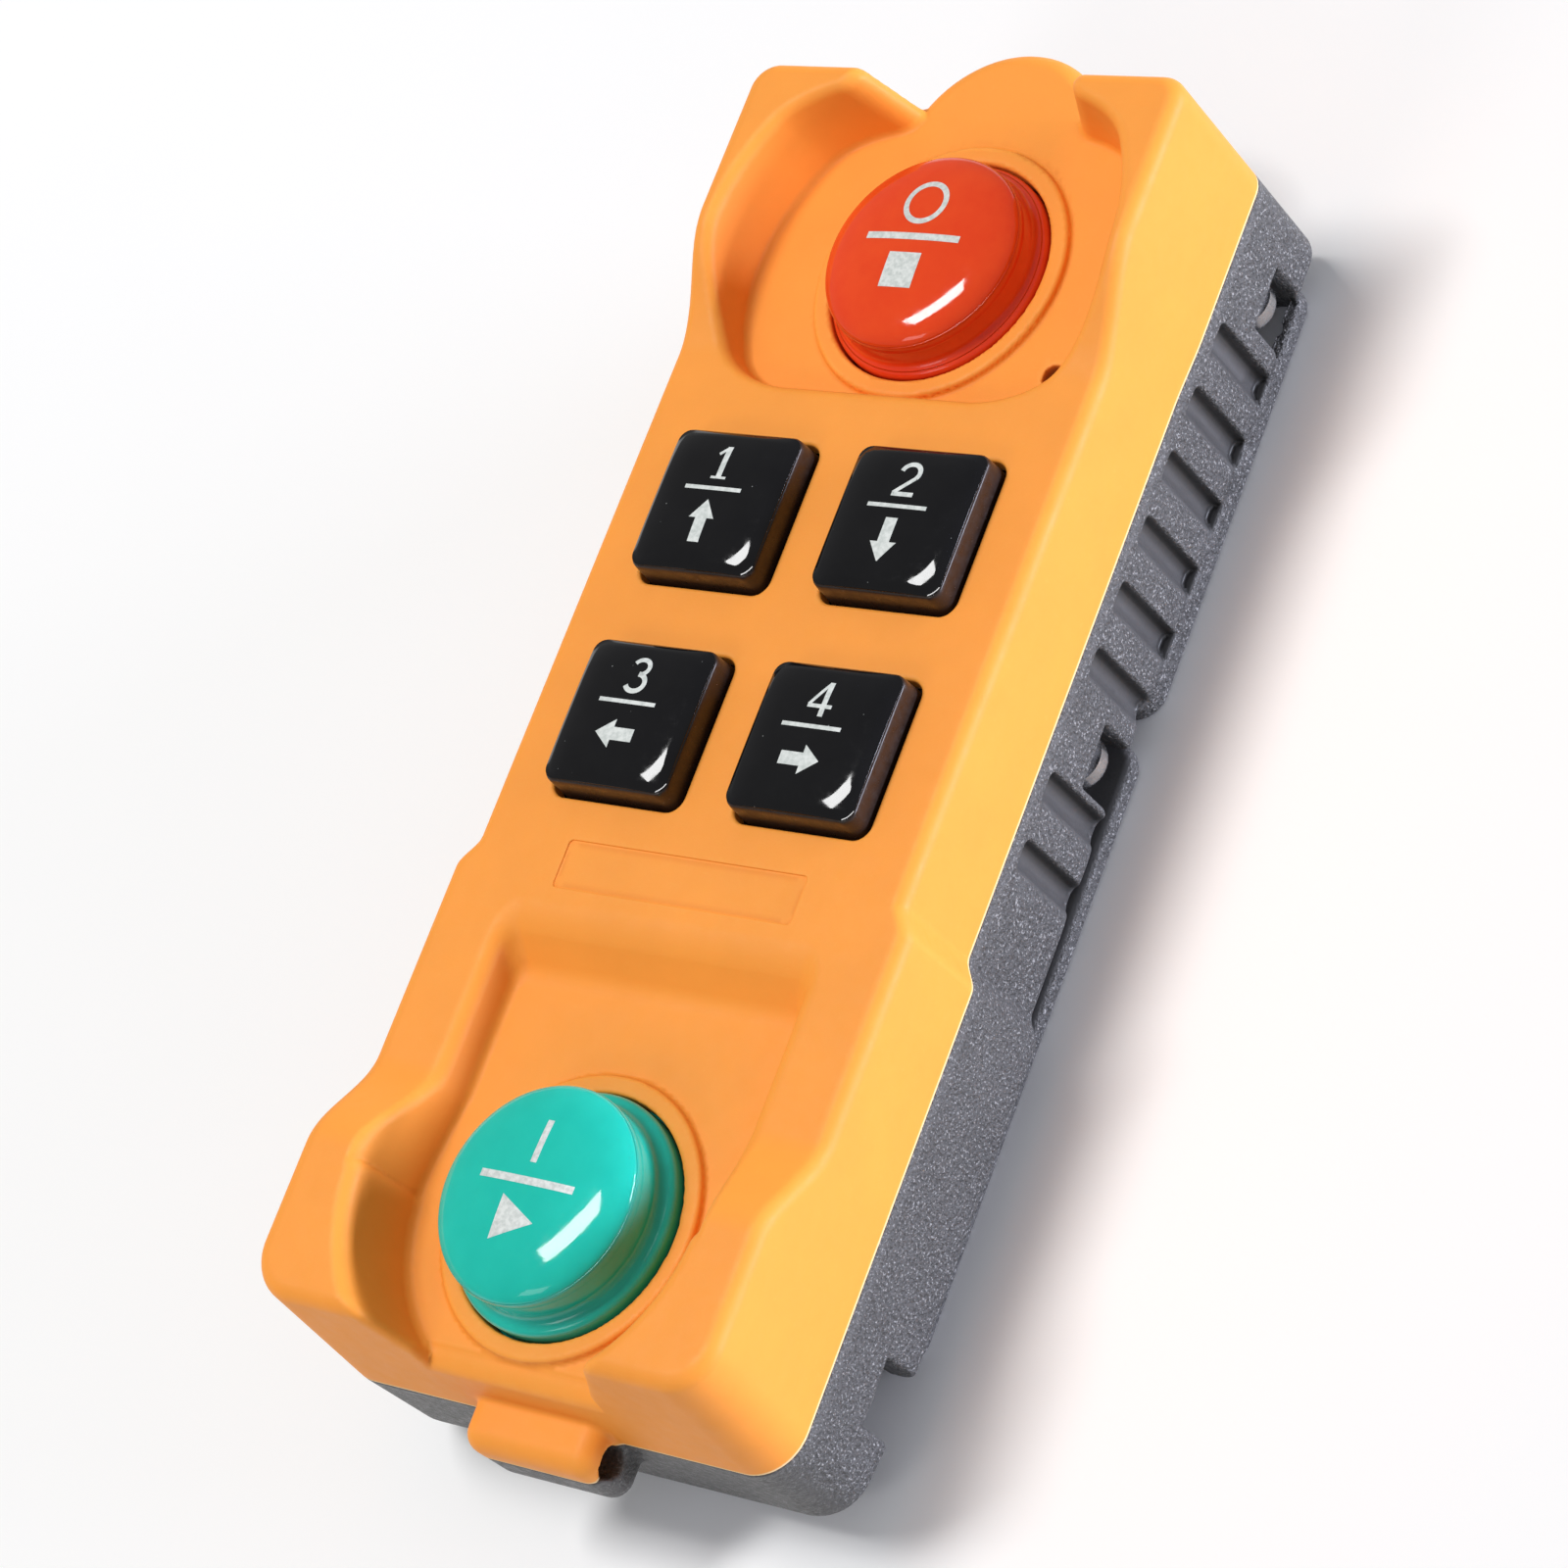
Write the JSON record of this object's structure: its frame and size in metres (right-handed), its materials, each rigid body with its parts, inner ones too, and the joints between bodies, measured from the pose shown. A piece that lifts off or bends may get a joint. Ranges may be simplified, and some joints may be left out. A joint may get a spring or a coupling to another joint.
{
  "type": "radio hoist remote",
  "caption": "Handheld radio transmitter for a hoist: two-shell case, round stop and start buttons, square direction keys, battery door and lanyard tab.",
  "frame": {"origin": "middle of the outline in plan, on the plane the back of the case rests on", "axes": "+X across the width, +Y from the lanyard tab towards the stop button, +Z out of the button face"},
  "size_m": [0.0546, 0.1484, 0.0334],
  "materials": {
    "case_orange": "fine satin ABS, orange",
    "case_grey": "spark-textured glass-filled plastic, dark grey",
    "stop_red": "gloss red",
    "start_teal": "gloss blue-green",
    "key_black": "gloss black",
    "rubber": "matt black silicone rubber",
    "boot_rubber": "translucent silicone",
    "steel": "nickel-plated steel",
    "spring_steel": "spring steel",
    "board": "green solder mask on glass fibre",
    "chip": "moulded epoxy",
    "copper": "enamelled copper wire",
    "lamp": "red tinted epoxy",
    "clear": "clear acrylic",
    "cell": "plastic sleeve over a steel can",
    "wire": "PVC insulation",
    "foam": "closed-cell foam"
  },
  "bodies": {
    "case": {"front_shell": "case_orange", "back_shell": "case_grey", "case_seal": "rubber", "case_screws": "steel", "board_screws": "steel", "radio_board": "board", "start_board": "board", "key_board": "board", "radio_module": "steel", "controller_chip": "chip", "clock_crystal": "steel", "supply_capacitor": "chip", "antenna_coil": "copper", "status_lamp": "lamp", "light_pipe": "clear", "stop_switch": "chip", "start_switch": "chip", "key_switches": "chip", "stop_gasket": "rubber", "start_gasket": "rubber", "stop_spring": "spring_steel", "start_spring": "spring_steel", "battery_cell_left": "cell", "battery_cell_right": "cell", "contact_plate_left": "spring_steel", "contact_plate_right": "spring_steel", "contact_bridge": "spring_steel", "contact_spring": "spring_steel", "battery_lead_left": "wire", "battery_lead_right": "wire", "key_up_boot": "boot_rubber", "key_down_boot": "boot_rubber", "key_left_boot": "boot_rubber", "key_right_boot": "boot_rubber"},
    "stop_button": {"stop_cap": "stop_red", "stop_legend": "stop_red", "stop_plunger": "chip"},
    "start_button": {"start_cap": "start_teal", "start_legend": "start_teal", "start_plunger": "chip"},
    "up_key": {"key_up_cap": "key_black", "key_up_legend": "key_black", "key_up_plunger": "chip"},
    "down_key": {"key_down_cap": "key_black", "key_down_legend": "key_black", "key_down_plunger": "chip"},
    "left_key": {"key_left_cap": "key_black", "key_left_legend": "key_black", "key_left_plunger": "chip"},
    "right_key": {"key_right_cap": "key_black", "key_right_legend": "key_black", "key_right_plunger": "chip"},
    "door": {"battery_door": "case_grey", "door_seal": "rubber", "cell_pad": "foam"}
  },
  "joints": [
    {"name": "stop_press", "type": "slide", "parent": "case", "child": "stop_button", "axis": [0, 0, -1], "range_m": [0, 0.002], "stiffness_N_per_m": 900, "springref_m": -0.0015, "deforming": ["stop_spring"]},
    {"name": "start_press", "type": "slide", "parent": "case", "child": "start_button", "axis": [0, 0, -1], "range_m": [0, 0.002], "stiffness_N_per_m": 900, "springref_m": -0.0015, "deforming": ["start_spring"]},
    {"name": "up_press", "type": "slide", "parent": "case", "child": "up_key", "axis": [0, 0, -1], "range_m": [0, 0.0013], "stiffness_N_per_m": 900, "springref_m": -0.001, "deforming": ["key_up_boot"]},
    {"name": "down_press", "type": "slide", "parent": "case", "child": "down_key", "axis": [0, 0, -1], "range_m": [0, 0.0013], "stiffness_N_per_m": 900, "springref_m": -0.001, "deforming": ["key_down_boot"]},
    {"name": "left_press", "type": "slide", "parent": "case", "child": "left_key", "axis": [0, 0, -1], "range_m": [0, 0.0013], "stiffness_N_per_m": 900, "springref_m": -0.001, "deforming": ["key_left_boot"]},
    {"name": "right_press", "type": "slide", "parent": "case", "child": "right_key", "axis": [0, 0, -1], "range_m": [0, 0.0013], "stiffness_N_per_m": 900, "springref_m": -0.001, "deforming": ["key_right_boot"]},
    {"name": "door_swing", "type": "hinge", "parent": "case", "child": "door", "pos_m": [0, -0.0524, 0.001], "axis": [-1, 0, 0], "range_deg": [0, 35]}
  ]
}
